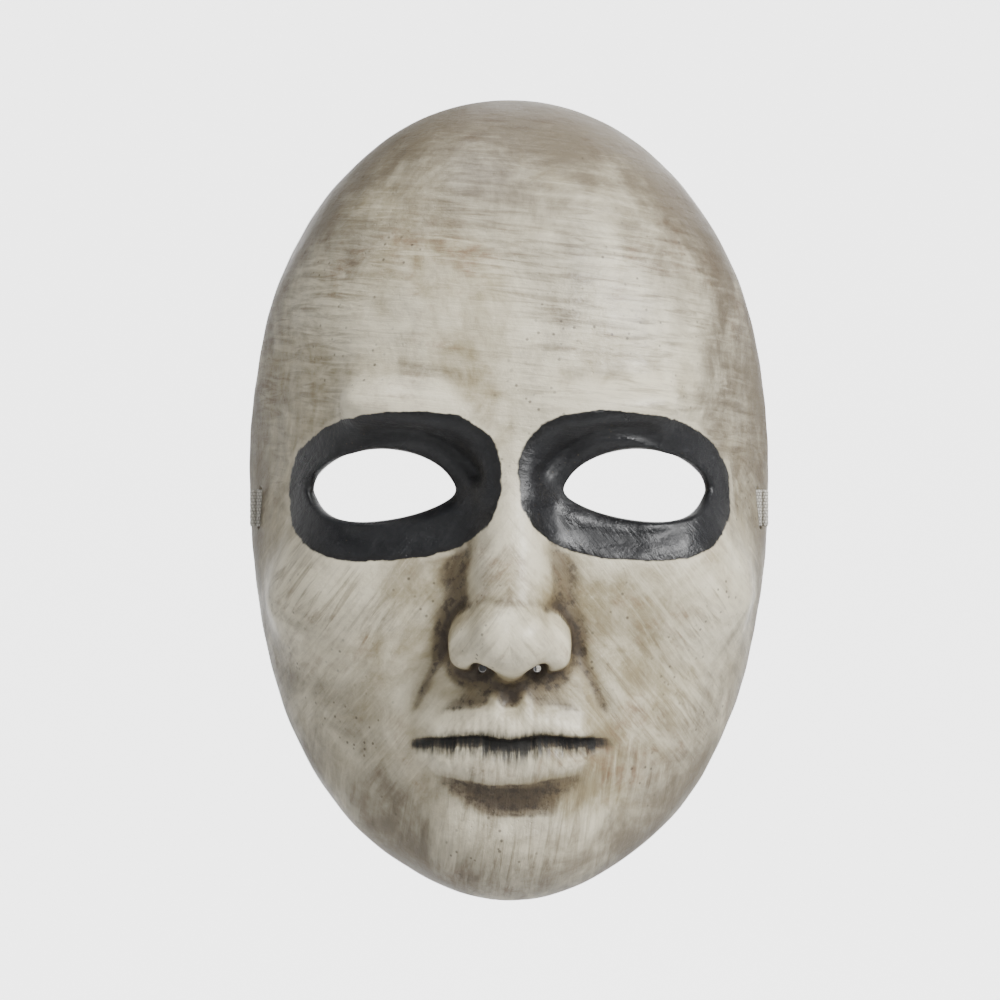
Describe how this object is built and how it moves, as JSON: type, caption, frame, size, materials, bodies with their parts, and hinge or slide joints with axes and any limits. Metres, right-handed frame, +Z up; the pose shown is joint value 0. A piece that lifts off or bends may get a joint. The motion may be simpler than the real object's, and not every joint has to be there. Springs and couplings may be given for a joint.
{
  "type": "latex halloween mask",
  "caption": "Rigid full-face mask with see-through eyes, foam pads inside and an elastic head strap on temple rivets.",
  "frame": {"origin": "midpoint between the two temple rivets, on the axis the strap swings about", "axes": "the face looks along -Y, the wearer's head leaves along +Y, +Z is up and +X is the wearer's left"},
  "size_m": [0.1726, 0.2415, 0.2591],
  "materials": {
    "painted_latex": "satin, bone base with grey-brown washes",
    "patch_rubber": "matt",
    "elastic_webbing": "ribbed woven elastic",
    "plated_steel": "nickel plated",
    "pad_foam": "open-cell foam",
    "slider_plastic": "moulded, satin"
  },
  "bodies": {
    "mask": {"face_shell": "painted_latex", "left_slot_patch": "patch_rubber", "right_slot_patch": "patch_rubber", "left_anchor_tab": "elastic_webbing", "right_anchor_tab": "elastic_webbing", "left_rivet": "plated_steel", "right_rivet": "plated_steel", "left_rivet_washer": "plated_steel", "right_rivet_washer": "plated_steel", "forehead_pad": "pad_foam", "nose_bridge_pad": "pad_foam", "chin_pad": "pad_foam", "left_cheek_pad": "pad_foam", "right_cheek_pad": "pad_foam"},
    "strap": {"left_strap_eyelet": "plated_steel", "right_strap_eyelet": "plated_steel", "left_strap": "elastic_webbing", "right_strap": "elastic_webbing", "left_keeper": "plated_steel", "right_keeper": "plated_steel", "back_strap": "elastic_webbing"},
    "slide": {"slider": "slider_plastic"}
  },
  "joints": [
    {"name": "strap_swing", "type": "hinge", "parent": "mask", "child": "strap", "pos_m": [0, 0, 0], "axis": [1, 0, 0], "range_deg": [-20, 50]},
    {"name": "slider_travel", "type": "slide", "parent": "strap", "child": "slide", "axis": [1, 0, 0], "range_m": [-0.025, 0.025]}
  ]
}
